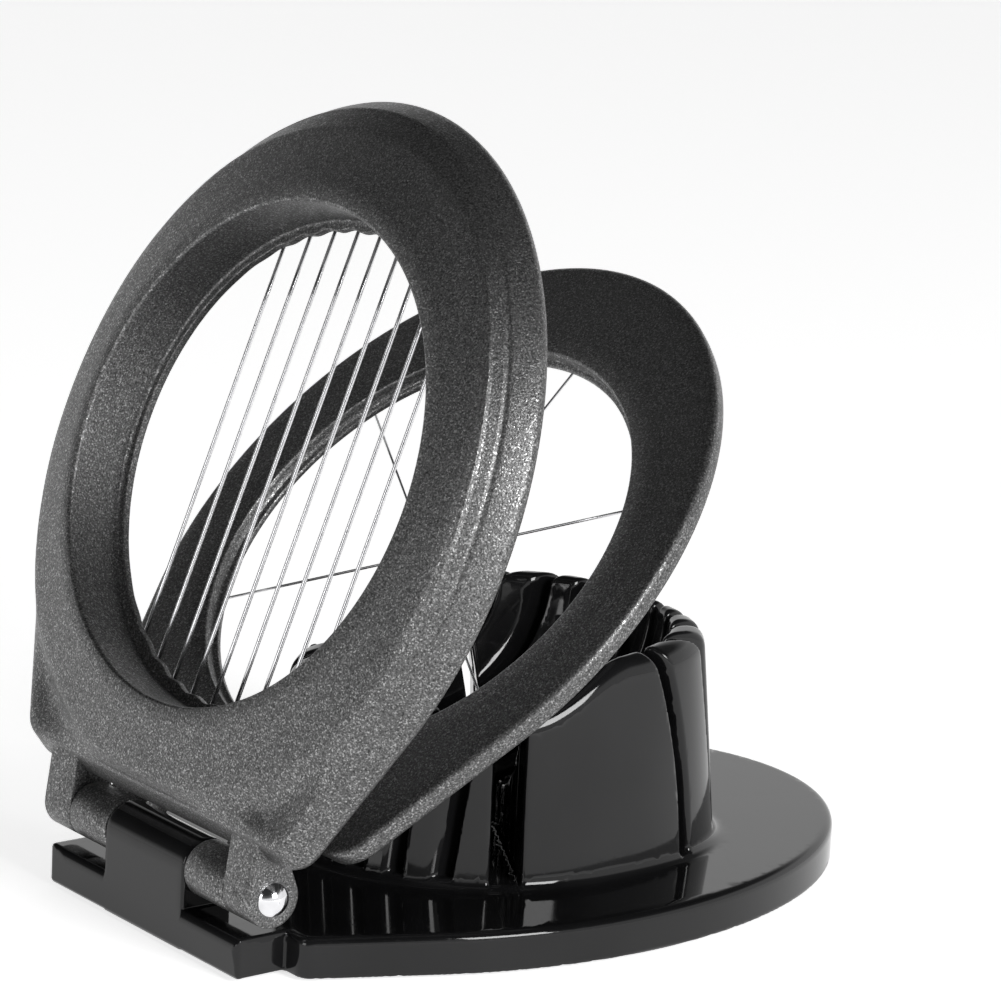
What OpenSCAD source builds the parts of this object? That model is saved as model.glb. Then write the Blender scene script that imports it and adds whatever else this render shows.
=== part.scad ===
// Two-frame egg slicer: a base with a slotted egg cup, a wedge frame and a
// slicing frame on one hinge pin.
// X runs along the hinge, Y from the hinge to the tip, Z up. Millimetres.
// The frames are drawn partly open, which is the rest pose of both hinges.

/* [Base] */
// length of the base, hinge block to tip
base_l = 118; // [80:1:180]
// widest part of the base plate
base_w = 85.6; // [60:0.2:140]
// thickness of the base plate
plate_t = 5.9; // [4:0.1:10]
// radius rolled on the top edge of the plate
plate_edge = 1; // [0.4:0.1:2]
// width of the hinge block
block_w = 47.4; // [36:0.2:80]

/* [Egg cup] */
// length of the cup at its foot
cup_l = 66.2; // [50:0.2:100]
// width of the cup at its foot
cup_w = 58; // [44:0.2:90]
// top of the cup on the tip side
cup_h = 37.6; // [28:0.2:60]
// how much lower the cup is on the hinge side
cup_dip = 6.4; // [0:0.2:12]
// thickness of the cup wall at the top
cup_wall = 2.6; // [1.8:0.1:5]
// slot width for a slicing wire
slot_w = 1.7; // [1.2:0.1:3]

/* [Frames] */
// widest part of the slicing frame
frame_w = 100.4; // [70:0.2:160]
// window width of the slicing frame
window_w = 74.6; // [60:0.2:120]
// window length of the slicing frame
window_l = 72.2; // [60:0.2:120]
// height of the slicing frame at its window
rim_t = 10.2; // [6:0.1:16]
// how far the lip stands into the window
lip_w = 1.3; // [0.6:0.1:2.5]
// thickness of the wedge frame
wedge_t = 3.05; // [2:0.05:6]
// how far the wedge frame's lip stands into its window
wedge_lip_w = 0.8; // [0.2:0.1:2]
// radius of the hinge corners
corner_r = 6; // [2:0.1:8]

/* [Wires] */
// spacing of the slicing wires
wire_pitch = 5.05; // [3.5:0.05:8]
// thickness of a slicing wire
wire_d = 0.6; // [0.4:0.05:1]
// thickness of a wedge wire
wedge_wire_d = 0.44; // [0.3:0.02:0.8]

/* [Hinge] */
// height of the hinge axis
hinge_z = 11.6; // [10:0.1:20]
// outer radius of the knuckles
knuckle_r = 4.1; // [3.2:0.1:6]
// diameter of the hinge pin
pin_d = 4; // [2:0.1:5]
// radial clearance between pin and turning knuckles
pin_clear = 0.05; // [0.01:0.01:0.1]
// side clearance between knuckles
side_clear = 0.15; // [0.05:0.05:0.5]
// width of the base lug
lug_w = 19.7; // [12:0.1:30]
// width of each wedge frame knuckle
inner_w = 9.2; // [5:0.1:16]
// width of each slicing frame ear
ear_w = 6.5; // [4:0.1:12]

/* [Pose] */
// opening of the wedge frame from flat
wedge_open = 44.4; // [0:0.1:50]
// opening of the slicing frame from the wedge frame
slice_open = 23.9; // [0:0.1:75]

/* [View] */
// node to build

/* [Hidden] */
$fn = 64;
rays = 144;
step = 360 / rays;
eps = 0.02;
// plate
plate_y1 = base_l - knuckle_r;
plate_y0 = knuckle_r - 0.3;
plate_ay = 0.506 * base_l;
plate_c = plate_y1 - plate_ay;
plate_hw = block_w / 2 + 4;
// frames, measured from the hinge axis
tip_a = 0.924 * base_l;
mid_a = 0.457 * base_l;
edge_a = knuckle_r + 0.8;
hinge_hw_a = 0.347 * frame_w;
win_c = 0.4705 * base_l;
tip_b = tip_a - 0.8;
mid_b = 0.483 * base_l;
edge_b = edge_a + 4.4;
frame_wb = 0.94 * frame_w;
hinge_hw_b = 0.357 * frame_wb;
window_wb = 0.97 * window_w;
window_lb = window_l - 1.4;
win_cb = win_c + 1;
// heights above the hinge plane
top_b = -0.25;
back_b = top_b - wedge_t;
back_a = 1.5;
rim_a = back_a + rim_t;
crease_a = back_a + 0.72 * rim_t;
brow_a = back_a + 0.53 * rim_t;
side_a = back_a + 0.15 * rim_t;
lip_t = 1.2;
// hinge stations
lug_x = lug_w / 2;
inner_x0 = lug_x + side_clear;
inner_x1 = inner_x0 + inner_w;
ear_x0 = inner_x1 + side_clear;
ear_x1 = ear_x0 + ear_w;
pin_r = pin_d / 2;
head_r = pin_r + 0.7;
head_pocket = 0.6;
// wires
wires = 9;
wire_z = back_a - eps - wire_d / 2;
wedge_step = wedge_wire_d + 0.04;
wedge_z = back_b - eps - wedge_wire_d / 2;
wire_over = 2.2;
wedge_dirs = [90, 30, 150];
// cup
cup_c = 0.4745 * base_l;
cup_lean = 2.8;
cup_low = cup_h - cup_dip;
bowl_z = hinge_z + wire_z + 0.4;
slice_floor = plate_t + 1.6;
wedge_floor = plate_t + 0.5;
wedge_slot = slot_w + 0.3;

// ---- outlines ------------------------------------------------------------
// Reach of an oval with two rounded hinge corners in direction p, from c0.
// ax, ay, c: half axes and centre of the oval; hx, y0: the hinge corners.
function reach(ax, ay, c, hx, y0, r, c0, p) = max(
    sqrt(pow(ax * cos(p), 2) + pow(ay * sin(p), 2)) + (c - c0) * sin(p),
    abs((hx - r) * cos(p)) + (y0 + r - c0) * sin(p) + r);
// All reaches round the outline, then the distance to its straight hinge edge.
function reaches(ax, ay, c, hx, y0, r, c0) = concat(
    [for (i = [0 : rays - 1]) reach(ax, ay, c, hx, y0, r, c0, i * step)],
    [c0 - y0]);
// Distance from c0 to the outline, drawn in by d, along ray i.
function ray_len(h, d, i) = min(
    min([for (k = [-28 : 28]) (h[(i + k + rays) % rays] - d) / cos(k * step)]),
    (h[rays] - d) / max(0.001, -sin(i * step)));
function ring(h, d, c0, z) =
    [for (i = [0 : rays - 1]) let (q = ray_len(h, d, i))
        [q * cos(i * step), c0 + q * sin(i * step), z]];
function oval_ring(a, b, c0, z) =
    [for (i = [0 : rays - 1])
        let (q = 1 / sqrt(pow(cos(i * step) / a, 2) + pow(sin(i * step) / b, 2)))
        [q * cos(i * step), c0 + q * sin(i * step), z]];
// Ring that follows an oval but stays inside another ring by gap.
function inner_ring(o, a, b, c0, z, zo, gap) =
    [for (i = [0 : rays - 1])
        let (q = 1 / sqrt(pow(cos(i * step) / a, 2) + pow(sin(i * step) / b, 2)))
        let (w = norm([o[i][0], o[i][1] - c0]) - gap)
        let (m = min(q, w))
        [m * cos(i * step), c0 + m * sin(i * step), z]];

// Closed band through a loop of rings.
module band(rings) {
    m = len(rings);
    pts = [for (r = rings) for (p = r) p];
    faces = [for (j = [0 : m - 1]) for (i = [0 : rays - 1])
        let (a = j * rays + i)
        let (b = j * rays + (i + 1) % rays)
        let (c = ((j + 1) % m) * rays + (i + 1) % rays)
        let (d = ((j + 1) % m) * rays + i)
        each [[a, b, c], [a, c, d]]];
    polyhedron(points = pts, faces = faces, convexity = 6);
}

// Solid through a stack of rings, flat at both ends.
module stack(rings) {
    m = len(rings);
    pts = [for (r = rings) for (p = r) p];
    sides = [for (j = [0 : m - 2]) for (i = [0 : rays - 1])
        let (a = j * rays + i)
        let (b = j * rays + (i + 1) % rays)
        let (c = (j + 1) * rays + (i + 1) % rays)
        let (d = (j + 1) * rays + i)
        each [[a, c, b], [a, d, c]]];
    low = [for (i = [0 : rays - 1]) i];
    high = [for (i = [0 : rays - 1]) m * rays - 1 - i];
    polyhedron(points = pts, faces = concat(sides, [low], [high]), convexity = 4);
}

module along_x(x0, x1) {
    translate([x0, 0, 0])
        rotate([90, 0, 90])
            linear_extrude(height = x1 - x0)
                children();
}

module rod_x(r, x0, x1) {
    translate([x0, 0, 0])
        rotate([0, 90, 0])
            cylinder(r = r, h = x1 - x0);
}

// ---- base ----------------------------------------------------------------
module plate() {
    h = reaches(base_w / 2, plate_ay, plate_c, plate_hw, plate_y0, 1.5, plate_c);
    stack([
        ring(h, 0.3, plate_c, 0),
        ring(h, 0, plate_c, 0.3),
        ring(h, 0, plate_c, plate_t - plate_edge),
        ring(h, 0.3 * plate_edge, plate_c, plate_t - 0.3 * plate_edge),
        ring(h, plate_edge, plate_c, plate_t)]);
}

module cup_body() {
    intersection() {
        translate([0, cup_c, plate_t - 1])
            scale([1, cup_l / cup_w, 1])
                cylinder(r1 = cup_w / 2, r2 = cup_w / 2 - cup_lean,
                         h = cup_h - plate_t + 1, $fn = 128);
        along_x(-cup_w, cup_w)
            polygon([[0, 0],
                     [0, cup_low],
                     [cup_c - 0.19 * cup_l, cup_low],
                     [cup_c + 0.07 * cup_l, cup_h],
                     [base_l, cup_h],
                     [base_l, 0]]);
    }
}

// The hollow that holds the egg, lying along Y.
module bowl() {
    a = cup_w / 2 - cup_lean - cup_wall;
    b = a * cup_l / cup_w;
    c = cup_h + 1 - bowl_z;
    translate([0, cup_c, cup_h + 1])
        scale([1, b / a, c / a])
            sphere(r = a, $fn = 96);
    translate([0, cup_c, cup_h + 1])
        scale([1, b / a, 1])
            cylinder(r = a, h = 5, $fn = 96);
}

module slice_slots() {
    for (i = [0 : wires - 1])
        translate([(i - (wires - 1) / 2) * wire_pitch - slot_w / 2, 0.1 * base_l, slice_floor])
            cube([slot_w, base_l, cup_h]);
    translate([-wedge_slot / 2, 0.1 * base_l, wedge_floor])
        cube([wedge_slot, base_l, cup_h]);
}

// Slots for the slanting wedge wires: thin ones that follow the swing of the
// wire on the tip side, wide upright ones on the hinge side.
module wedge_slots() {
    sweep = asin((cup_h - hinge_z) / win_cb) + 4;
    for (s = [-1, 1]) {
        for (k = [0 : 4])
            translate([0, 0, hinge_z])
                rotate([k * sweep / 4, 0, 0])
                    translate([0, win_cb, back_b])
                        rotate([0, 0, 90 - s * 60])
                            translate([0, -wedge_slot / 2, wedge_floor - hinge_z - back_b])
                                cube([cup_w, wedge_slot, 9 + cup_h / 8]);
        translate([0, win_cb + 1.1, wedge_floor])
            linear_extrude(height = cup_h)
                polygon([[0, 0], [s * cup_w, -cup_w * tan(30)],
                         [s * cup_w, -cup_w * tan(30) - 5.2], [0, -5.2]]);
    }
}

module base() {
    color([0.02, 0.02, 0.022])
        difference() {
            union() {
                plate();
                translate([-block_w / 2, -knuckle_r, 0])
                    cube([block_w, knuckle_r + plate_y0 + 2, plate_t]);
                translate([-lug_x, -knuckle_r, 0])
                    cube([lug_w, 2 * knuckle_r, hinge_z]);
                translate([0, 0, hinge_z])
                    rod_x(knuckle_r, -lug_x, lug_x);
                difference() {
                    cup_body();
                    bowl();
                    slice_slots();
                    wedge_slots();
                }
            }
            translate([0, 0, hinge_z])
                rod_x(pin_r, -lug_x - 1, lug_x + 1);
        }
}

// ---- frames --------------------------------------------------------------
module at_wedge() {
    translate([0, 0, hinge_z])
        rotate([wedge_open, 0, 0])
            children();
}

module at_slice() {
    translate([0, 0, hinge_z])
        rotate([wedge_open + slice_open, 0, 0])
            children();
}

module slicing_frame() {
    h = reaches(frame_w / 2, tip_a - mid_a, mid_a, hinge_hw_a, edge_a, corner_r, win_c);
    a = window_w / 2;
    b = window_l / 2;
    brow = ring(h, 2.4, win_c, brow_a);
    color([0.14, 0.14, 0.145])
        at_slice()
            difference() {
                union() {
                    band([
                        oval_ring(a - lip_w, b - lip_w, win_c, back_a),
                        oval_ring(a - lip_w, b - lip_w, win_c, back_a + lip_t),
                        oval_ring(a, b, win_c, back_a + lip_t),
                        oval_ring(a, b, win_c, rim_a - 0.5),
                        oval_ring(a + 0.5, b + 0.5, win_c, rim_a),
                        inner_ring(brow, frame_w / 2 - 2.4, b + 11.7, win_c, crease_a, brow_a, 1.2),
                        brow,
                        ring(h, 0, win_c, side_a),
                        ring(h, 0.7, win_c, back_a)]);
                    for (s = [-1, 1])
                        along_x(min(s * ear_x0, s * ear_x1), max(s * ear_x0, s * ear_x1))
                            hull() {
                                circle(r = knuckle_r);
                                translate([edge_a + 1, back_a])
                                    square([3, 0.45 * rim_t]);
                            }
                }
                rod_x(pin_r + pin_clear, -ear_x1 - 1, ear_x1 + 1);
                rod_x(head_r + 0.3, -ear_x1 - 1, -ear_x1 + head_pocket);
                rod_x(head_r + 0.3, ear_x1 - head_pocket, ear_x1 + 1);
            }
}

module wedge_frame() {
    h = reaches(frame_wb / 2, tip_b - mid_b, mid_b, hinge_hw_b, edge_b, corner_r, win_cb);
    a = window_wb / 2;
    b = window_lb / 2;
    color([0.10, 0.10, 0.105])
        at_wedge()
            difference() {
                union() {
                    band([
                        oval_ring(a - wedge_lip_w, b - wedge_lip_w, win_cb, back_b),
                        oval_ring(a - wedge_lip_w, b - wedge_lip_w, win_cb, back_b + wedge_t / 3),
                        oval_ring(a, b, win_cb, back_b + wedge_t / 3),
                        oval_ring(a, b, win_cb, top_b - 0.3),
                        oval_ring(a + 0.3, b + 0.3, win_cb, top_b),
                        ring(h, 0.8, win_cb, top_b),
                        ring(h, 0, win_cb, top_b - 0.8),
                        ring(h, 0.3, win_cb, back_b)]);
                    for (s = [-1, 1])
                        along_x(min(s * inner_x0, s * inner_x1), max(s * inner_x0, s * inner_x1))
                            union() {
                                circle(r = knuckle_r);
                                hull() {
                                    translate([0, -0.4 * knuckle_r])
                                        circle(r = 0.6 * knuckle_r);
                                    translate([edge_b, back_b])
                                        square([3, wedge_t - 0.3]);
                                }
                            }
                    for (k = [1, 2])
                        for (s = [-1, 1])
                            wedge_pad(k, s, a - wedge_lip_w, b - wedge_lip_w);
                }
                rod_x(pin_r + pin_clear, -inner_x1 - 1, inner_x1 + 1);
            }
}

// A pad on the back of the wedge frame, under one end of wire k.
module wedge_pad(k, s, a, b) {
    t = wedge_dirs[k];
    q = 1 / sqrt(pow(cos(t) / a, 2) + pow(sin(t) / b, 2));
    translate([0, win_cb, back_b - k * wedge_step])
        rotate([0, 0, t + (s < 0 ? 180 : 0)])
            translate([q + 0.4, -1.6, 0])
                cube([3, 3.2, k * wedge_step + 0.5]);
}

// ---- wires ---------------------------------------------------------------
module slicing_wire(i) {
    u = (i - (wires - 1) / 2) * wire_pitch;
    a = window_w / 2 - lip_w;
    b = window_l / 2 - lip_w;
    q = b * sqrt(1 - pow(u / a, 2)) + wire_over;
    color([0.75, 0.76, 0.78])
        at_slice()
            translate([u, win_c + q, wire_z])
                rotate([90, 0, 0])
                    cylinder(r = wire_d / 2, h = 2 * q, $fn = 24);
}

module wedge_wire(k) {
    t = wedge_dirs[k];
    a = window_wb / 2 - wedge_lip_w;
    b = window_lb / 2 - wedge_lip_w;
    q = 1 / sqrt(pow(cos(t) / a, 2) + pow(sin(t) / b, 2)) + wire_over;
    color([0.75, 0.76, 0.78])
        at_wedge()
            translate([0, win_cb, wedge_z - k * wedge_step])
                rotate([0, 0, t])
                    translate([-q, 0, 0])
                        rotate([0, 90, 0])
                            cylinder(r = wedge_wire_d / 2, h = 2 * q, $fn = 24);
}

// ---- pin -----------------------------------------------------------------
module hinge_pin() {
    x = ear_x1 - head_pocket + 0.05;
    color([0.85, 0.86, 0.88])
        translate([0, 0, hinge_z]) {
            rod_x(pin_r, -x, x);
            for (s = [-1, 1])
                rotate([0, s * 90, 0])
                    translate([0, 0, x])
                        rotate_extrude()
                            intersection() {
                                translate([0, 2 - head_r * 1.1])
                                    circle(r = head_r * 1.1 + 0.0);
                                square([head_r, 2]);
                            }
        }
}

base();
slicing_frame();
wedge_frame();
hinge_pin();
slicing_wire(0);  // slicing_wire_1
slicing_wire(1);  // slicing_wire_2
slicing_wire(2);  // slicing_wire_3
slicing_wire(3);  // slicing_wire_4
slicing_wire(4);  // slicing_wire_5
slicing_wire(5);  // slicing_wire_6
slicing_wire(6);  // slicing_wire_7
slicing_wire(7);  // slicing_wire_8
slicing_wire(8);  // slicing_wire_9
wedge_wire(0);  // wedge_wire_1
wedge_wire(1);  // wedge_wire_2
wedge_wire(2);  // wedge_wire_3
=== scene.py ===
import math

import bmesh
import bpy
import numpy as np
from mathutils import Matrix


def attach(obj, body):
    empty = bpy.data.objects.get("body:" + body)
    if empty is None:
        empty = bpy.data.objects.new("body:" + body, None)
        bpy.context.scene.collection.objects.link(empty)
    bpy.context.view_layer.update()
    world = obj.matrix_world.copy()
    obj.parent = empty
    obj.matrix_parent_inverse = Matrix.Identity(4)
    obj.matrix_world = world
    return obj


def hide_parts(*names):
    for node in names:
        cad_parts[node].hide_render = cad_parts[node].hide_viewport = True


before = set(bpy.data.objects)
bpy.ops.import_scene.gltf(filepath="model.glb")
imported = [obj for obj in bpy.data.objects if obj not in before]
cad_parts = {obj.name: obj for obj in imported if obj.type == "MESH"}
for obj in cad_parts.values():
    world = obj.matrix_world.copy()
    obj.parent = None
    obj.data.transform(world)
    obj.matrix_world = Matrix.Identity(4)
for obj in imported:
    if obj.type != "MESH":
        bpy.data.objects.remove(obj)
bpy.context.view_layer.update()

import openvdb
from mathutils import Matrix, Vector


# ---- Base ----------------------------------------------------------------
# One moulding in glossy black plastic: an oval plate, a hinge block with a
# lug at the rear, and an egg cup cut into fins by the slots for the wires.
# Lengths are in millimetres until MM turns them into metres.
MM = 0.001
HINGE_Z = 11.6
KNUCKLE_R = 4.1
PIN_R = 2.0
PLATE_T = 5.9
PLATE_HALF_W = 42.8
PLATE_HALF_L = 59.7
PLATE_MID = 54.2
PLATE_REAR = 3.8
PLATE_REAR_HALF_W = 27.7
PLATE_TIP = 113.9
PLATE_ROUND = 1.4
PLATE_CORNER = 1.6
BLOCK_HALF_W = 23.7
BLOCK_FRONT = 8
CRISP_EDGE = 0.5
FLOOR_EDGE = 0.4
LUG_HALF_W = 9.85
CUP_MID = 56.0
CUP_HALF_W = 29.0
CUP_STRETCH = 66.2 / 58.0
CUP_SQUARE = 2.6
CUP_LEAN = 2.8
CUP_TOP = 37.6
CUP_LOW = 31.2
CUP_RISE_START = 12.6
CUP_RISE_RUN = 17.2
CUP_WALL_SLOPE = 0.97
CUP_RIM_ROUND = 3.2
CUP_FILLET = 1.6
BOWL_ROUND = 1.6
SLOT_ROUND = 0.8
BOWL_R = (23.6, 26.95, 25.4)
BOWL_Z = 38.6
WIRE_PITCH = 5.05
WIRES = 9
SLOT_W = 1.7
SLOT_FLOOR = 7.5
WEDGE_MID = 56.5
WEDGE_DROP = 3.5
WEDGE_SLOT = 2.0
WEDGE_FLOOR = 6.4
WEDGE_TURN = math.radians(30)
WIDE_SLOT_BACK = 1.5
WIDE_SLOT_HALF = 2.25
MESH_CELL = 0.4
MESH_FLATNESS = 0.02


def soft_min(a, b, k):
    """The nearer of two surfaces, with a fillet of about k where they meet."""
    h = np.clip(0.5 + 0.5 * (b - a) / k, 0, 1)
    return b + (a - b) * h - k * h * (1 - h)


def soft_max(a, b, k):
    """The overlap of two solids, with their shared edge rounded by about k."""
    return -soft_min(-a, -b, k)


def oval_depth(x, y, a, b):
    """Distance outside an oval with half axes a and b."""
    near = np.sqrt((x / a) ** 2 + (y / b) ** 2)
    slope = np.sqrt((x / a**2) ** 2 + (y / b**2) ** 2) + 1e-9
    return near * (near - 1) / slope


def box_depth(x, y, z, low, high, k):
    """Distance outside a box, with its edges rounded by about k."""
    sides = [np.abs(v - (p + q) / 2) - (q - p) / 2 for v, p, q in zip((x, y, z), low, high)]
    return soft_max(soft_max(sides[0], sides[1], k), sides[2], k)


def plate_outline(x, y):
    """Distance outside the plate's outline: an oval whose sides run straight
    to two corners at the rear."""
    px = PLATE_REAR_HALF_W / PLATE_HALF_W
    py = (PLATE_REAR - PLATE_MID) / PLATE_HALF_L
    touch = math.atan2(py, px) + math.acos(min(1.0, 1 / math.hypot(px, py)))
    tx, ty = PLATE_HALF_W * math.cos(touch), PLATE_MID + PLATE_HALF_L * math.sin(touch)
    nx, ny = ty - PLATE_REAR, PLATE_REAR_HALF_W - tx
    side = ((np.abs(x) - tx) * nx + (y - ty) * ny) / math.hypot(nx, ny)
    rear = np.maximum(side, y - ty)
    whole = np.minimum(oval_depth(x, y - PLATE_MID, PLATE_HALF_W, PLATE_HALF_L), rear)
    return soft_max(whole, PLATE_REAR - y, PLATE_CORNER)


def cup_depth(x, y, z):
    """Distance outside the egg cup with its slots."""
    v = y - CUP_MID
    reach = CUP_HALF_W - CUP_LEAN * (z - PLATE_T) / (CUP_TOP - PLATE_T)
    along = np.abs(v) / CUP_STRETCH
    power = np.where(v > 0, CUP_SQUARE, 2.0)
    shell = ((np.abs(x) ** power + along**power) ** (1 / power) - reach) * CUP_WALL_SLOPE
    rise = np.clip((v + CUP_RISE_START) / CUP_RISE_RUN, 0, 1)
    top = CUP_LOW + (CUP_TOP - CUP_LOW) * rise * rise * (3 - 2 * rise)
    body = soft_max(shell, z - top, CUP_RIM_ROUND)
    ex, ey, ez = x / BOWL_R[0], v / BOWL_R[1], (z - BOWL_Z) / BOWL_R[2]
    near = np.sqrt(ex**2 + ey**2 + ez**2) + 1e-6
    slope = np.sqrt((ex / BOWL_R[0]) ** 2 + (ey / BOWL_R[1]) ** 2 + (ez / BOWL_R[2]) ** 2) + 1e-6
    bowl = near * (near - 1) / slope
    body = soft_max(body, -bowl, BOWL_ROUND)
    last = (WIRES - 1) // 2
    line = np.clip(np.round(x / WIRE_PITCH), -last, last)
    slots = soft_max(np.abs(x - line * WIRE_PITCH) - SLOT_W / 2, SLOT_FLOOR - z, CRISP_EDGE)
    middle = np.maximum(np.abs(x) - WEDGE_SLOT / 2, WEDGE_FLOOR - z)
    slant, square = math.tan(WEDGE_TURN), math.cos(WEDGE_TURN)
    swing = np.sqrt(np.maximum(y**2 + (z - HINGE_Z) ** 2 - WEDGE_DROP**2, 0))
    swung = np.abs(swing - WEDGE_MID - np.abs(x) * slant) * square
    thin = np.maximum(np.maximum(swung - WEDGE_SLOT / 2, WEDGE_MID - y), WEDGE_FLOOR - z)
    wide = np.abs(y - WEDGE_MID + WIDE_SLOT_BACK + np.abs(x) * slant) * square
    wide = np.maximum(wide - WIDE_SLOT_HALF, WEDGE_FLOOR - z)
    cuts = np.minimum(np.minimum(slots, middle), np.minimum(thin, wide))
    return soft_max(body, -cuts, SLOT_ROUND)


def base_depth(x, y, z):
    """Distance outside the whole base, in millimetres."""
    plate = soft_max(plate_outline(x, y), z - PLATE_T, PLATE_ROUND)
    block = box_depth(x, y, z, (-BLOCK_HALF_W, -KNUCKLE_R, 0),
                      (BLOCK_HALF_W, BLOCK_FRONT, PLATE_T), CRISP_EDGE)
    barrel = np.hypot(y, z - HINGE_Z) - KNUCKLE_R
    lug = np.minimum(barrel, np.maximum(np.abs(y) - KNUCKLE_R, z - HINGE_Z))
    lug = soft_max(lug, np.abs(x) - LUG_HALF_W, CRISP_EDGE)
    hinge = np.minimum(np.minimum(plate, block), lug)
    whole = soft_max(soft_min(hinge, cup_depth(x, y, z), CUP_FILLET), -z, FLOOR_EDGE)
    bore = PIN_R - np.hypot(y, z - HINGE_Z)
    return np.maximum(whole, bore)


def moulded(depth, low, high, cell, flatness):
    """A closed mesh of the solid where depth is below zero, its points drawn
    onto the true surface and its normals taken from it."""
    axes = [np.arange(p - 2 * cell, q + 2.5 * cell, cell) for p, q in zip(low, high)]
    grid = openvdb.FloatGrid(background=3 * cell)
    values = depth(axes[0][:, None, None], axes[1][None, :, None], axes[2][None, None, :])
    grid.copyFromArray(np.clip(values, -3 * cell, 3 * cell).astype(np.float32))
    points, triangles, quads = grid.convertToPolygons(isovalue=0.0, adaptivity=flatness)
    p = points.astype(float) * cell + [a[0] for a in axes]

    def lean(p, e):
        steps = np.eye(3) * e
        return np.stack([(depth(*(p + s).T) - depth(*(p - s).T)) / (2 * e) for s in steps], 1)

    for _ in range(2):
        g = lean(p, 0.02)
        size = np.maximum((g**2).sum(1), 0.25)
        p -= g * (np.clip(depth(*p.T), -0.2 * cell, 0.2 * cell) / size)[:, None]
    g = lean(p, 0.06)
    normals = g / np.maximum(np.linalg.norm(g, axis=1, keepdims=True), 1e-6)
    faces = quads.tolist() + triangles.tolist()
    mesh = bpy.data.meshes.new("moulding")
    mesh.from_pydata(p * MM, [], faces)
    mesh.validate()
    mesh.update()
    return mesh, normals


def finished(name, mesh, normals=None):
    """An object at the origin with a smooth mesh."""
    piece = bpy.data.objects.new(name, mesh)
    bpy.context.scene.collection.objects.link(piece)
    mesh.polygons.foreach_set("use_smooth", [True] * len(mesh.polygons))
    if normals is not None and len(normals) == len(mesh.vertices):
        mesh.normals_split_custom_set_from_vertices(normals)
    return piece


class Link:
    """One output of a node. Sums on it add Math or Vector Math nodes."""

    def __init__(self, tree, out):
        self.tree, self.out = tree, out

    @staticmethod
    def add(tree, kind, settings, values, output=0):
        node = tree.nodes.new(kind)
        for name, value in settings.items():
            if name == "stops":
                ramp = node.color_ramp.elements
                while len(ramp) < len(value):
                    ramp.new(0.5)
                for stop, (place, shade) in zip(ramp, value):
                    stop.position, stop.color = place, shade
            else:
                setattr(node, name, value)
        for name, value in values.items():
            socket = node.inputs[name]
            if isinstance(value, Link):
                tree.links.new(value.out, socket)
            else:
                socket.default_value = value
        return Link(tree, node.outputs[output])

    def sum_of(self, operation, *parts):
        vector = any(isinstance(p, Link) and p.out.type == "VECTOR" for p in parts)
        if vector:
            parts = [(p,) * 3 if isinstance(p, (int, float)) else p for p in parts]
        kind = "ShaderNodeVectorMath" if vector else "ShaderNodeMath"
        return Link.add(self.tree, kind, {"operation": operation}, dict(enumerate(parts)))

    def __add__(self, other):
        return self.sum_of("ADD", self, other)

    def __radd__(self, other):
        return self.sum_of("ADD", other, self)

    def __sub__(self, other):
        return self.sum_of("SUBTRACT", self, other)

    def __rsub__(self, other):
        return self.sum_of("SUBTRACT", other, self)

    def __mul__(self, other):
        return self.sum_of("MULTIPLY", self, other)

    def __truediv__(self, other):
        return self.sum_of("DIVIDE", self, other)

    def __rtruediv__(self, other):
        return self.sum_of("DIVIDE", other, self)

    def __pow__(self, other):
        return self.sum_of("POWER", self, other)


def new_finish(name, **constants):
    """A material with its shader's fixed values set. Returns it with its tree,
    shader and Object coordinates."""
    finish = bpy.data.materials.new(name)
    finish.use_nodes = True
    tree = finish.node_tree
    shader = tree.nodes["Principled BSDF"]
    for socket, value in constants.items():
        shader.inputs[socket.replace("_", " ")].default_value = value
    place = Link.add(tree, "ShaderNodeTexCoord", {}, {}, "Object")
    return finish, tree, shader, place


def grain(tree, place, scale, detail=2.0, rough=0.5):
    return Link.add(tree, "ShaderNodeTexNoise", {},
                    {"Vector": place, "Scale": scale, "Detail": detail, "Roughness": rough})


def shade(tree, factor, stops):
    return Link.add(tree, "ShaderNodeValToRGB", {"stops": stops}, {"Fac": factor})


def grey(value, tint=0.0):
    return (value, value, value * (1 + tint), 1.0)


gloss_black, tree, shader, place = new_finish(
    "gloss_black_plastic", IOR=1.5, Specular_IOR_Level=0.36)
cloud = grain(tree, place, 55.0, 3.0)
dust = grain(tree, place, 900.0, 2.0)
tree.links.new(shade(tree, cloud, [(0.35, grey(0.0045, 0.06)), (0.7, grey(0.008, 0.06))]).out,
               shader.inputs["Base Color"])
tree.links.new((0.045 + cloud * 0.035 + (dust ** 6.0) * 0.5).out, shader.inputs["Roughness"])
ripple = Link.add(tree, "ShaderNodeBump", {}, {
    "Strength": 0.05, "Distance": 0.0002, "Height": grain(tree, place, 90.0, 1.0)})
tree.links.new(ripple.out, shader.inputs["Normal"])

base_mesh, base_normals = moulded(
    base_depth, (-PLATE_HALF_W, -KNUCKLE_R, 0), (PLATE_HALF_W, PLATE_TIP, CUP_TOP),
    MESH_CELL, MESH_FLATNESS)
base = finished("base_moulding", base_mesh, base_normals)
base.data.materials.append(gloss_black)
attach(base, "base")
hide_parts("base")


# ---- Slicing frame -------------------------------------------------------
# A thick oval casting with a charcoal coat that sparkles. Its face slopes
# from the window to a soft crease and dips toward the hinge corners, and its
# ears turn on the hinge pin's ends. Sizes are in the frame's own flat plane.
SLICE_ANGLE = 68.3
WEDGE_ANGLE = 44.4
BORE_R = 2.05
OUTLINE_POINTS = 600


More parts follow.
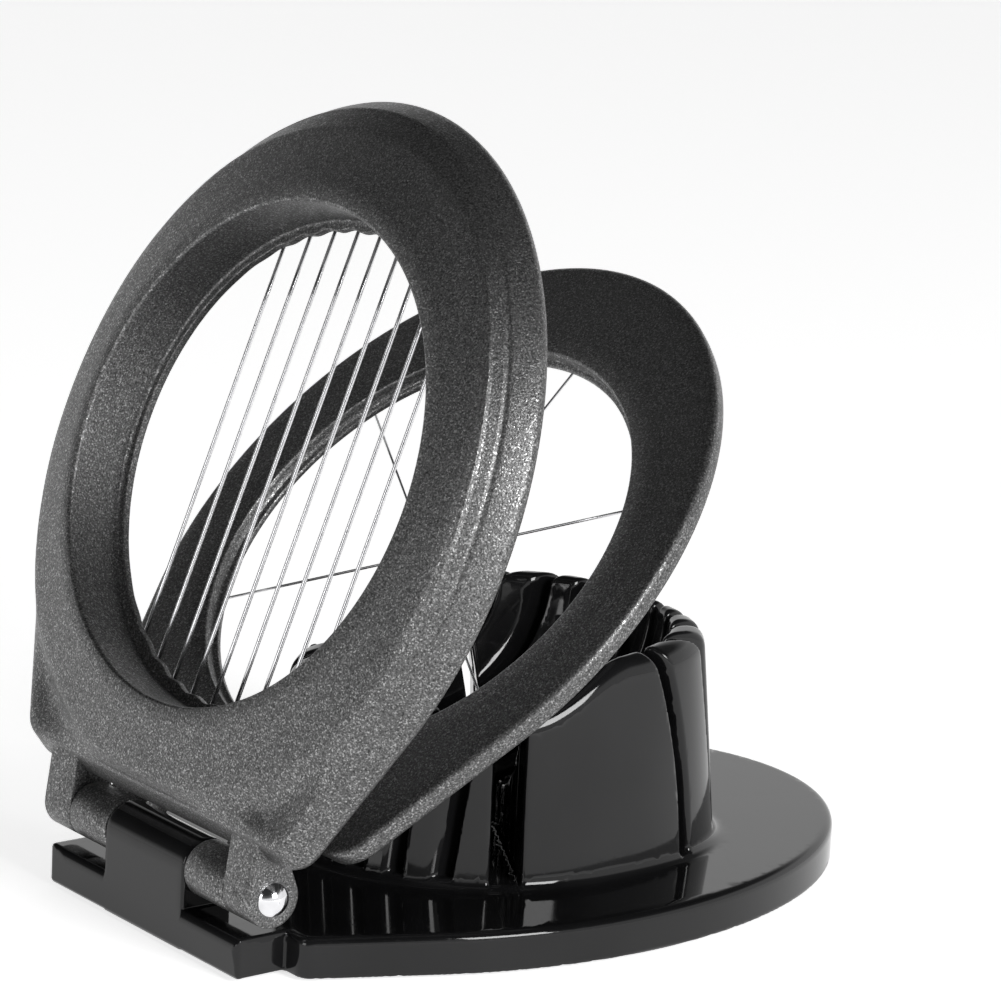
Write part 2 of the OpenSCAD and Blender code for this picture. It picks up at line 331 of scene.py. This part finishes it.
def outline_points(half_w, half_l, mid, corner_half_w, rear, corner_r, count):
    """Evenly spaced points round an oval whose sides run straight to two
    rounded corners at the hinge."""
    turn = np.radians(np.arange(-90, 270, 0.125) + 0.0625)
    c, s = np.cos(turn), np.sin(turn)
    oval = np.hypot(half_w * c, half_l * s) + mid * s
    corner = np.abs((corner_half_w - corner_r) * c) + (rear + corner_r) * s + corner_r
    use_oval = (oval > corner) & (s > -0.5)
    size = np.hypot(half_w * c, half_l * s)
    x = np.where(use_oval, half_w**2 * c / size,
                 np.sign(c) * (corner_half_w - corner_r) + corner_r * c)
    y = np.where(use_oval, mid + half_l**2 * s / size, rear + corner_r + corner_r * s)
    x, y = np.append(x, x[0]), np.append(y, y[0])
    run = np.append(0, np.cumsum(np.hypot(np.diff(x), np.diff(y))))
    at = np.arange(count) * run[-1] / count
    return np.stack([np.interp(at, run, x), np.interp(at, run, y), 0 * at], 1)


def rounded_corners(path, steps):
    """A profile with its corners rounded. Each corner is (across, up, radius,
    part): part 0 is placed from the window, part 1 from the outline."""
    out = []
    for i, (a, h, r, part) in enumerate(path):
        here = np.array([a, h])

        def toward(other):
            gap = np.array(other[:2]) - here
            return gap / np.linalg.norm(gap)

        if r == 0:
            out.append((a, h, part))
            continue
        u, w = toward(path[i - 1]), toward(path[(i + 1) % len(path)])
        for k in range(steps + 1):
            t = k / steps
            p = (1 - t) ** 2 * (here + u * r) + 2 * t * (1 - t) * here + t**2 * (here + w * r)
            out.append((p[0], p[1], part))
    return out


def poly_curve(name, points):
    """A closed curve through points, for a frame's outline or its profile."""
    curve = bpy.data.curves.new(name, "CURVE")
    curve.dimensions = "3D"
    line = curve.splines.new("POLY")
    line.points.add(len(points) - 1)
    for point, p in zip(line.points, points):
        point.co = (p[0], p[1], p[2], 1)
    line.use_cyclic_u = True
    thing = bpy.data.objects.new(name, curve)
    bpy.context.scene.collection.objects.link(thing)
    return thing


def oval_frame_tree():
    """Sweeps a profile round a frame's outline. The window's oval and the
    outline share each ray from the window's middle. Lengths are in metres."""
    lip_start, brow_blend, scoop_run = -0.0003, 0.002, 0.004
    scallop_fade, nearly_all = 0.2, 0.999
    scoop_peak = 27 / 4
    tree = bpy.data.node_groups.new("oval_frame", "GeometryNodeTree")
    face = tree.interface
    face.new_socket("Outline", in_out="INPUT", socket_type="NodeSocketGeometry")
    face.new_socket("Profile", in_out="INPUT", socket_type="NodeSocketObject")
    for name in ("Window half width", "Window half length", "Window middle", "Brow inset",
                 "Brow gap", "Scoop depth", "Scoop start", "Scallop pitch",
                 "Scallop depth", "Opening", "Hinge height"):
        face.new_socket(name, in_out="INPUT", socket_type="NodeSocketFloat")
    face.new_socket("Coat", in_out="INPUT", socket_type="NodeSocketMaterial")
    face.new_socket("Frame", in_out="OUTPUT", socket_type="NodeSocketGeometry")
    given = tree.nodes.new("NodeGroupInput")

    def asked(name):
        return Link(tree, given.outputs[name])

    def add(kind, settings, values, output=0):
        return Link.add(tree, kind, settings, values, output)

    position = add("GeometryNodeInputPosition", {}, {})
    along = add("GeometryNodeInputTangent", {}, {})

    def kept(geometry, field):
        node = tree.nodes.new("GeometryNodeCaptureAttribute")
        node.capture_items.new("VECTOR", "Kept")
        tree.links.new(geometry.out, node.inputs["Geometry"])
        tree.links.new(field.out, node.inputs["Kept"])
        return Link(tree, node.outputs["Geometry"]), Link(tree, node.outputs["Kept"])

    outline, rim = kept(asked("Outline"), position)
    outline, run = kept(outline, along)
    card = add("GeometryNodeObjectInfo", {}, {"Object": asked("Profile")}, "Geometry")
    card, spec = kept(card, position)
    swept = add("GeometryNodeCurveToMesh", {}, {"Curve": outline, "Profile Curve": card})
    parts = tree.nodes.new("ShaderNodeSeparateXYZ")
    tree.links.new(spec.out, parts.inputs[0])
    across, up, part = (Link(tree, parts.outputs[k]) for k in range(3))
    middle = add("ShaderNodeCombineXYZ", {}, {"Y": asked("Window middle")})
    ray = rim - middle
    reach = add("ShaderNodeVectorMath", {"operation": "LENGTH"}, {0: ray}, "Value")
    way = add("ShaderNodeVectorMath", {"operation": "NORMALIZE"}, {0: ray})
    heading = tree.nodes.new("ShaderNodeSeparateXYZ")
    tree.links.new(way.out, heading.inputs[0])
    wx, wy = Link(tree, heading.outputs[0]), Link(tree, heading.outputs[1])
    is_lip = add("ShaderNodeMath", {"operation": "LESS_THAN"}, {0: across, 1: lip_start})
    half_w = asked("Window half width") + across
    half_l = asked("Window half length") + across
    plain = 1.0 / ((wx / half_w) ** 2.0 + (wy / half_l) ** 2.0) ** 0.5
    turn = wx * plain / asked("Scallop pitch") * (2 * math.pi)
    wave = add("ShaderNodeMath", {"operation": "COSINE"}, {0: turn})
    steep = add("ShaderNodeMath", {"operation": "SMOOTH_MIN"}, {
        0: wy ** 6.0 * 2.0, 1: 1.0, 2: scallop_fade})
    waved = plain + (wave - 1.0) * asked("Scallop depth") * 0.5 * is_lip * steep
    inner = add("ShaderNodeMath", {"operation": "SMOOTH_MIN"}, {
        0: waved, 1: reach - asked("Brow gap"), 2: brow_blend})
    window_side = middle + way * inner
    outward = add("ShaderNodeVectorMath", {"operation": "CROSS_PRODUCT"}, {0: run, 1: (0, 0, 1)})
    is_rim = add("ShaderNodeMath", {"operation": "GREATER_THAN"}, {0: part, 1: nearly_all})
    inset = across * is_rim + asked("Brow inset") * (1.0 - is_rim)
    outline_side = rim - outward * inset
    blend = window_side * (1.0 - part) + outline_side * part
    room = add("ShaderNodeMath", {"operation": "MULTIPLY", "use_clamp": True}, {
        0: reach - asked("Scoop start"), 1: 1 / scoop_run})
    scoop = room * asked("Scoop depth") * part * (1.0 - part) ** 2.0 * scoop_peak
    lift = add("ShaderNodeCombineXYZ", {}, {"Z": up - scoop})
    laid = add("GeometryNodeSetPosition", {}, {"Geometry": swept, "Position": blend + lift})
    turned = add("GeometryNodeTransform", {}, {
        "Geometry": laid,
        "Translation": add("ShaderNodeCombineXYZ", {}, {"Z": asked("Hinge height")}),
        "Rotation": add("ShaderNodeCombineXYZ", {}, {"X": asked("Opening")})})
    whole = add("GeometryNodeRealizeInstances", {}, {"Geometry": turned})
    smooth = add("GeometryNodeSetShadeSmooth", {}, {"Geometry": whole, "Shade Smooth": True})
    coated = add("GeometryNodeSetMaterial", {}, {"Geometry": smooth, "Material": asked("Coat")})
    end = tree.nodes.new("NodeGroupOutput")
    tree.links.new(coated.out, end.inputs["Frame"])
    return tree


def grown(name, tree, start, values):
    """Runs a node tree on an object and keeps its result as a plain mesh."""
    modifier = start.modifiers.new(name, "NODES")
    modifier.node_group = tree
    for item in tree.interface.items_tree:
        if item.in_out == "INPUT" and item.name in values:
            modifier[item.identifier] = values[item.name]
    bpy.context.view_layer.update()
    ready = start.evaluated_get(bpy.context.evaluated_depsgraph_get())
    mesh = bpy.data.meshes.new_from_object(ready)
    start.modifiers.remove(modifier)
    bpy.data.objects.remove(start)
    mesh.name = name
    return mesh


def faced_out(mesh):
    """Merges doubles and turns every face of a closed mesh outward."""
    work = bmesh.new()
    work.from_mesh(mesh)
    bmesh.ops.remove_doubles(work, verts=work.verts, dist=1e-7)
    bmesh.ops.recalc_face_normals(work, faces=work.faces)
    work.to_mesh(mesh)
    work.free()


ROUND_STEP = 0.293


def outward_ways(outline):
    """Unit vectors that point out of a closed outline, one for each point."""
    step = np.roll(outline, -1, 0) - np.roll(outline, 1, 0)
    out = np.stack([step[:, 1], -step[:, 0]], 1)
    return out / np.linalg.norm(out, axis=1, keepdims=True)


def skinned(name, rings, angle, closed):
    """A mesh through rings of points, each (x, points), turned open about the
    hinge. It joins its ends when closed, and caps them otherwise."""
    work = bmesh.new()
    t = math.radians(angle)
    made = [[work.verts.new((x, v * math.cos(t) - w * math.sin(t),
                             HINGE_Z * MM + v * math.sin(t) + w * math.cos(t)))
             for v, w in ring] for x, ring in rings]
    n = len(made[0])
    for a, b in zip(made, made[1:] + made[:1] if closed else made[1:]):
        for i in range(n):
            work.faces.new((a[i], a[(i + 1) % n], b[(i + 1) % n], b[i]))
    if not closed:
        work.faces.new(made[0])
        work.faces.new(made[-1][::-1])
    bmesh.ops.recalc_face_normals(work, faces=work.faces)
    mesh = bpy.data.meshes.new(name)
    work.to_mesh(mesh)
    work.free()
    return mesh


def hinge_slice(outer, x0, x1, angle, bore_r, edge=0.00025):
    """A knuckle or ear: a profile in the hinge's own plane, extruded along X,
    bored for the pin and softly edged."""
    turn = np.arctan2(outer[:, 1], outer[:, 0])
    bore = bore_r * np.stack([np.cos(turn), np.sin(turn)], 1)
    out = outward_ways(outer)
    soft = ROUND_STEP * edge
    flared = bore * (1 + edge / bore_r)
    return skinned("hinge_slice", [
        (x0 + edge, outer), (x0 + soft, outer - out * soft), (x0, outer - out * edge),
        (x0, flared), (x0 + edge, bore), (x1 - edge, bore), (x1, flared),
        (x1, outer - out * edge), (x1 - soft, outer - out * soft), (x1 - edge, outer)],
        angle, True)


def solid_slice(outer, x0, x1, angle, edge=0.0003):
    """A solid arm: a profile extruded along X with soft edges."""
    out = outward_ways(outer)
    soft = ROUND_STEP * edge
    return skinned("solid_slice", [
        (x0, outer - out * edge), (x0 + soft, outer - out * soft), (x0 + edge, outer),
        (x1 - edge, outer), (x1 - soft, outer - out * soft), (x1, outer - out * edge)],
        angle, False)


def hull_shape(circles, count=96):
    """The outline of the hull of some circles, each (v, w, radius)."""
    out = []
    for a in np.linspace(0, 2 * math.pi, 720, endpoint=False):
        c, s = math.cos(a), math.sin(a)
        v, w, r = max(circles, key=lambda k: k[0] * c + k[1] * s + k[2])
        out.append((v + r * c, w + r * s))
    out = np.array(out + out[:1])
    run = np.append(0, np.cumsum(np.linalg.norm(np.diff(out, axis=0), axis=1)))
    at = np.arange(count) * run[-1] / count
    return np.stack([np.interp(at, run, out[:, 0]), np.interp(at, run, out[:, 1])], 1) * MM


def joined(name, meshes, coat):
    """One object from several closed meshes in the same place."""
    work = bmesh.new()
    for mesh in meshes:
        work.from_mesh(mesh)
    mesh = bpy.data.meshes.new(name)
    work.to_mesh(mesh)
    work.free()
    piece = finished(name, mesh)
    piece.data.materials.clear()
    piece.data.materials.append(coat)
    return piece


charcoal_coat, tree, shader, place = new_finish("charcoal_sparkle_coat", IOR=1.5)
flake = Link.add(tree, "ShaderNodeTexVoronoi", {"feature": "F1"},
                 {"Vector": place, "Scale": 5200.0})
speck = Link(tree, flake.out.node.outputs["Color"])
cell = Link.add(tree, "ShaderNodeSeparateColor", {}, {"Color": speck}, "Red")
fine = grain(tree, place, 3600.0, 1.0, 0.5)
haze = grain(tree, place, 30.0, 2.0)
bright = cell ** 5.0
tone = fine * 0.62 + bright * 0.3 + haze * 0.06
tree.links.new(shade(tree, tone, [(0.18, grey(0.033)), (0.42, grey(0.145)),
                                  (0.75, grey(0.5))]).out, shader.inputs["Base Color"])
tree.links.new((0.40 - bright * 0.1 + haze * 0.06).out, shader.inputs["Roughness"])
tree.links.new((0.82 + bright * 0.15).out, shader.inputs["Metallic"])
pebble = Link.add(tree, "ShaderNodeBump", {}, {
    "Strength": 0.4, "Distance": 0.00010, "Height": fine + cell * 0.35})
tree.links.new(pebble.out, shader.inputs["Normal"])

frame_tree = oval_frame_tree()
slice_outline = poly_curve("slice_outline", MM * outline_points(
    half_w=50.2, half_l=55.1, mid=53.9, corner_half_w=34.84, rear=4.9, corner_r=6.0,
    count=OUTLINE_POINTS))
# The land runs from the window's rim out to the crease, and the fall runs
# from the crease down to the rim at the outline.
land = [(11.7 * t + 0.5 * (1 - t), 8.84 * t + 11.7 * (1 - t)) for t in (0.25, 0.5, 0.7)]
fall = [(11.7, 8.79 - 1.94 * t, t) for t in (0.07, 0.15, 0.25, 0.37, 0.52, 0.68, 0.85)]
slice_profile = (
    rounded_corners([(-1.3, 1.5, 0.25, 0), (-1.3, 2.7, 0.25, 0), (0, 2.7, 0.5, 0),
                     (0, 11.2, 0.0, 0)], 4)[:-1]
    + [(0.0, 11.05, 0), (0.06, 11.35, 0), (0.22, 11.58, 0), (0.5, 11.7, 0)]
    + [(g, h, 0) for g, h in land]
    + [(10.2, 9.25, 0), (11.0, 9.03, 0), (11.6, 8.82, 0.02)]
    + fall
    + [(2.6, 6.92, 1), (2.25, 6.75, 1), (1.95, 6.35, 1), (1.2, 5.05, 1), (0.35, 3.65, 1),
       (0.08, 3.1, 1), (0.05, 2.6, 1), (0.25, 1.9, 1), (0.7, 1.5, 1)]
)
slice_profile = [(a * MM, h * MM, part) for a, h, part in slice_profile]
slice_card = poly_curve("slice_profile", slice_profile)
slice_mesh = grown("slicing_ring", frame_tree, slice_outline, {
    "Profile": slice_card, "Window half width": 37.3 * MM, "Window half length": 36.1 * MM,
    "Window middle": 55.5 * MM, "Brow inset": 2.4 * MM, "Brow gap": 3.7 * MM,
    "Scoop depth": 1.3 * MM, "Scoop start": 54.0 * MM,
    "Scallop pitch": WIRE_PITCH * MM, "Scallop depth": 0.4 * MM,
    "Opening": math.radians(SLICE_ANGLE), "Hinge height": HINGE_Z * MM, "Coat": charcoal_coat})
bpy.data.objects.remove(slice_card)
faced_out(slice_mesh)
EAR_W = 6.5
ear_shape = hull_shape([(0, 0, KNUCKLE_R), (7.5, 2.0, 0.5), (7.5, 5.4, 0.6)])
ears = [hinge_slice(ear_shape, x * MM, (x + EAR_W) * MM, SLICE_ANGLE, BORE_R * MM)
        for x in (-25.85, 19.35)]
slicing_frame = joined("slicing_frame_casting", [slice_mesh, *ears], charcoal_coat)
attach(slicing_frame, "slicer")
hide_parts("slicing_frame")


# ---- Wedge frame ---------------------------------------------------------
# The thin oval casting under the slicing frame, with the same coat. Its two
# barrels sit either side of the lug, each on an arm of the casting.
wedge_outline = poly_curve("wedge_outline", MM * outline_points(
    half_w=47.19, half_l=51.2, mid=57.0, corner_half_w=33.7, rear=9.3, corner_r=6.0,
    count=OUTLINE_POINTS))
wedge_profile = (
    [(-0.65, -3.3, 0), (-0.8, -3.15, 0), (-0.8, -2.5, 0), (-0.65, -2.32, 0), (-0.25, -2.25, 0),
     (0.0, -2.0, 0), (0.0, -1.2, 0), (0.0, -0.6, 0), (0.1, -0.36, 0), (0.32, -0.25, 0)]
    + [(4.0, -0.25, 0), (3.0, -0.25, 1), (1.0, -0.25, 1), (0.62, -0.33, 1), (0.22, -0.62, 1),
       (0.04, -1.0, 1), (0.0, -1.4, 1), (0.12, -2.4, 1), (0.28, -3.1, 1), (0.5, -3.3, 1)]
)
wedge_profile = [(a * MM, h * MM, part) for a, h, part in wedge_profile]
wedge_card = poly_curve("wedge_profile", wedge_profile)
wedge_mesh = grown("wedge_ring", frame_tree, wedge_outline, {
    "Profile": wedge_card, "Window half width": 36.18 * MM, "Window half length": 35.4 * MM,
    "Window middle": 56.5 * MM, "Brow inset": 3.0 * MM, "Brow gap": 1.0 * MM,
    "Scallop pitch": WIRE_PITCH * MM, "Scallop depth": 0.0,
    "Opening": math.radians(WEDGE_ANGLE), "Hinge height": HINGE_Z * MM, "Coat": charcoal_coat})
bpy.data.objects.remove(wedge_card)
faced_out(wedge_mesh)
BARREL_W = 9.2
BARRELS_AT = (-19.2, 10.0)
barrel_shape = hull_shape([(0, 0, KNUCKLE_R)])
arm_shape = hull_shape([(0, -1.64, 2.46), (11.9, -2.9, 0.4), (11.9, -1.0, 0.4)])
barrels = [hinge_slice(barrel_shape, x * MM, (x + BARREL_W) * MM, WEDGE_ANGLE, BORE_R * MM)
           for x in BARRELS_AT]
arms = [solid_slice(arm_shape, x * MM, (x + BARREL_W) * MM, WEDGE_ANGLE)
        for x in BARRELS_AT]
wedge_frame = joined("wedge_frame_casting", [wedge_mesh, *barrels, *arms], charcoal_coat)
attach(wedge_frame, "wedge")
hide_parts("wedge_frame")


# ---- Slicing wires and wedge wires ---------------------------------------
# Bright drawn stainless wire, pulled tight across each window and held under
# the frames' lips: nine side by side, and three that cross in the middle.
bright_wire, tree, shader, place = new_finish(
    "bright_drawn_wire", IOR=2.5)
streak = grain(tree, place, 260.0, 1.0)
tree.links.new(shade(tree, streak, [(0.3, grey(0.68, 0.02)), (0.7, grey(0.78, 0.02))]).out,
               shader.inputs["Base Color"])
tree.links.new((0.2 + streak * 0.06).out, shader.inputs["Roughness"])
shader.inputs["Metallic"].default_value = 1.0


def wires_tree():
    """Parallel or crossing wires across an oval window, each cut to length."""
    tree = bpy.data.node_groups.new("tight_wires", "GeometryNodeTree")
    face = tree.interface
    face.new_socket("Start", in_out="INPUT", socket_type="NodeSocketGeometry")
    face.new_socket("Count", in_out="INPUT", socket_type="NodeSocketInt")
    for name in ("Pitch", "Window half width", "Window half length", "Window middle", "Overrun",
                 "Wire radius", "Wire height", "Step down", "First turn", "Turn",
                 "Opening", "Hinge height"):
        face.new_socket(name, in_out="INPUT", socket_type="NodeSocketFloat")
    face.new_socket("Steel", in_out="INPUT", socket_type="NodeSocketMaterial")
    face.new_socket("Wires", in_out="OUTPUT", socket_type="NodeSocketGeometry")
    given = tree.nodes.new("NodeGroupInput")

    def asked(name):
        return Link(tree, given.outputs[name])

    def add(kind, settings, values, output=0):
        return Link.add(tree, kind, settings, values, output)

    index = add("GeometryNodeInputIndex", {}, {})
    offset = (index - (asked("Count") - 1.0) * 0.5) * asked("Pitch")
    angle = asked("First turn") + index * asked("Turn")
    sine = add("ShaderNodeMath", {"operation": "SINE"}, {0: angle})
    cosine = add("ShaderNodeMath", {"operation": "COSINE"}, {0: angle})
    tight = (1.0 - (offset / asked("Window half width")) ** 2.0) ** 0.5
    spread = ((cosine / asked("Window half width")) ** 2.0
              + (sine / asked("Window half length")) ** 2.0) ** 0.5
    half = tight / spread + asked("Overrun")
    dots = add("GeometryNodeMeshLine", {}, {"Count": asked("Count")})
    spot = add("ShaderNodeCombineXYZ", {}, {
        "X": offset, "Y": asked("Window middle"),
        "Z": asked("Wire height") - index * asked("Step down")})
    dots = add("GeometryNodeSetPosition", {}, {"Geometry": dots, "Position": spot})
    rod = add("GeometryNodeMeshCylinder", {"fill_type": "NGON"}, {
        "Vertices": 20, "Side Segments": 6, "Radius": 1.0, "Depth": 2.0}, "Mesh")
    size = add("ShaderNodeCombineXYZ", {}, {
        "X": asked("Wire radius"), "Y": asked("Wire radius"), "Z": half})
    turned = add("FunctionNodeEulerToRotation", {}, {
        "Euler": add("ShaderNodeCombineXYZ", {}, {"X": math.pi / 2, "Z": angle - math.pi / 2})})
    strung = add("GeometryNodeInstanceOnPoints", {}, {
        "Points": dots, "Instance": rod, "Rotation": turned, "Scale": size})
    opened = add("GeometryNodeTransform", {}, {
        "Geometry": strung,
        "Translation": add("ShaderNodeCombineXYZ", {}, {"Z": asked("Hinge height")}),
        "Rotation": add("ShaderNodeCombineXYZ", {}, {"X": asked("Opening")})})
    whole = add("GeometryNodeRealizeInstances", {}, {"Geometry": opened})
    steel = add("GeometryNodeSetMaterial", {}, {"Geometry": whole, "Material": asked("Steel")})
    end = tree.nodes.new("NodeGroupOutput")
    tree.links.new(steel.out, end.inputs["Wires"])
    return tree


wire_tree = wires_tree()
strings = {
    "slicing_wires": dict(
        body="slicer", nodes=[f"slicing_wire_{k}" for k in range(1, 10)],
        values={"Count": WIRES, "Pitch": WIRE_PITCH * MM, "Window half width": 36.0 * MM,
                "Window half length": 34.8 * MM, "Window middle": 55.5 * MM, "Overrun": 2.2 * MM,
                "Wire radius": 0.29 * MM, "Wire height": 1.18 * MM, "First turn": math.pi / 2,
                "Opening": math.radians(SLICE_ANGLE)}),
    "wedge_wires": dict(
        body="wedge", nodes=[f"wedge_wire_{k}" for k in range(1, 4)],
        values={"Count": 3, "Window half width": 35.38 * MM, "Window half length": 34.6 * MM,
                "Window middle": 56.5 * MM, "Overrun": 2.2 * MM, "Wire radius": 0.2 * MM,
                "Wire height": -3.54 * MM, "Step down": 0.48 * MM, "First turn": math.pi / 6,
                "Turn": math.pi / 3, "Opening": math.radians(WEDGE_ANGLE)}),
}
for name, given in strings.items():
    start = bpy.data.objects.new(name + "_start", bpy.data.meshes.new(name + "_start"))
    bpy.context.scene.collection.objects.link(start)
    mesh = grown(name, wire_tree, start, {
        **given["values"], "Hinge height": HINGE_Z * MM, "Steel": bright_wire})
    wires = finished(name, mesh)
    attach(wires, given["body"])
    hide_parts(*given["nodes"])


# ---- Hinge pin -----------------------------------------------------------
# One polished chrome pin pressed through the lug, with a domed head at each
# end in a shallow pocket of the slicing frame's ears.
bright_chrome, tree, shader, place = new_finish("polished_chrome", IOR=2.5)
smear = grain(tree, place, 700.0, 2.0)
tree.links.new(shade(tree, smear, [(0.3, grey(0.72, 0.02)), (0.7, grey(0.86, 0.02))]).out,
               shader.inputs["Base Color"])
tree.links.new((0.05 + smear * 0.1).out, shader.inputs["Roughness"])
shader.inputs["Metallic"].default_value = 1.0
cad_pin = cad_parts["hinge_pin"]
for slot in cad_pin.material_slots:
    slot.material = bright_chrome


# ---- Floor, light and camera ---------------------------------------------
# A plain pale floor under soft studio light.
floor_mesh = bpy.data.meshes.new("floor")
floor_mesh.from_pydata([(-4, -4, -0.0005), (4, -4, -0.0005), (4, 4, -0.0005), (-4, 4, -0.0005)],
                       [], [(0, 1, 2, 3)])
floor = bpy.data.objects.new("floor", floor_mesh)
bpy.context.scene.collection.objects.link(floor)
pale, tree, shader, place = new_finish("pale_floor", Roughness=0.9)
shader.inputs["Base Color"].default_value = grey(0.9)
shader.inputs["Emission Color"].default_value = grey(1.0)
shader.inputs["Emission Strength"].default_value = 0.72
floor.data.materials.append(pale)

world = bpy.data.worlds.new("studio")
bpy.context.scene.world = world
world.use_nodes = True
tree = world.node_tree
sky = Link.add(tree, "ShaderNodeTexCoord", {}, {}, "Generated")
up = Link.add(tree, "ShaderNodeSeparateXYZ", {}, {"Vector": sky}, "Z")
along = Link.add(tree, "ShaderNodeSeparateXYZ", {}, {"Vector": sky}, "Y")
tree.links.new(shade(tree, up - along * 0.22, [
    (0.0, grey(1.0)), (0.22, grey(1.0)), (0.38, grey(0.12)), (0.6, grey(0.03))]).out,
               tree.nodes["Background"].inputs["Color"])


def softbox(name, place, aim, size, watts):
    """A square area light at place, turned to face aim."""
    light = bpy.data.lights.new(name, "AREA")
    light.shape, light.size, light.energy = "SQUARE", size, watts
    lamp = bpy.data.objects.new(name, light)
    bpy.context.scene.collection.objects.link(lamp)
    lamp.location = place
    back = np.array(place) - np.array(aim)
    lamp.rotation_mode = "QUATERNION"
    lamp.rotation_quaternion = Vector(-back).to_track_quat("-Z", "Y")
    return lamp


softbox("key_light", (0.95, 0.1, 0.42), (0, 0.05, 0.05), 0.35, 7.0)
softbox("fill_light", (0.2, -0.95, 0.3), (0, 0.05, 0.05), 0.4, 2.0)

LENS, SENSOR, RISE = 161.84, 36.0, 0.0969
AZIMUTH, ELEVATION, ROLL = (math.radians(a) for a in (51.46, 15.35, 3.0))
AIM = np.array([0.0057, 0.05244, 0.04241])
DISTANCE = 0.6486
TILT = math.atan(RISE * SENSOR / LENS)
back = np.array([math.sin(AZIMUTH) * math.cos(ELEVATION),
                 -math.cos(AZIMUTH) * math.cos(ELEVATION), math.sin(ELEVATION)])
right = np.array([math.cos(AZIMUTH), math.sin(AZIMUTH), 0.0])
above = np.cross(back, right)
right, above = (right * math.cos(ROLL) + above * math.sin(ROLL),
                -right * math.sin(ROLL) + above * math.cos(ROLL))
at = AIM + back * DISTANCE
back, above = (back * math.cos(TILT) - above * math.sin(TILT),
               above * math.cos(TILT) + back * math.sin(TILT))
lens = bpy.data.cameras.new("camera")
lens.lens, lens.sensor_width = LENS, SENSOR
lens.clip_start, lens.clip_end = 0.01, 20.0
camera = bpy.data.objects.new("camera", lens)
bpy.context.scene.collection.objects.link(camera)
camera.matrix_world = Matrix(
    [[right[k], above[k], back[k], at[k]] for k in range(3)] + [[0, 0, 0, 1]])
bpy.context.scene.camera = camera
bpy.context.scene.view_settings.view_transform = "Standard"
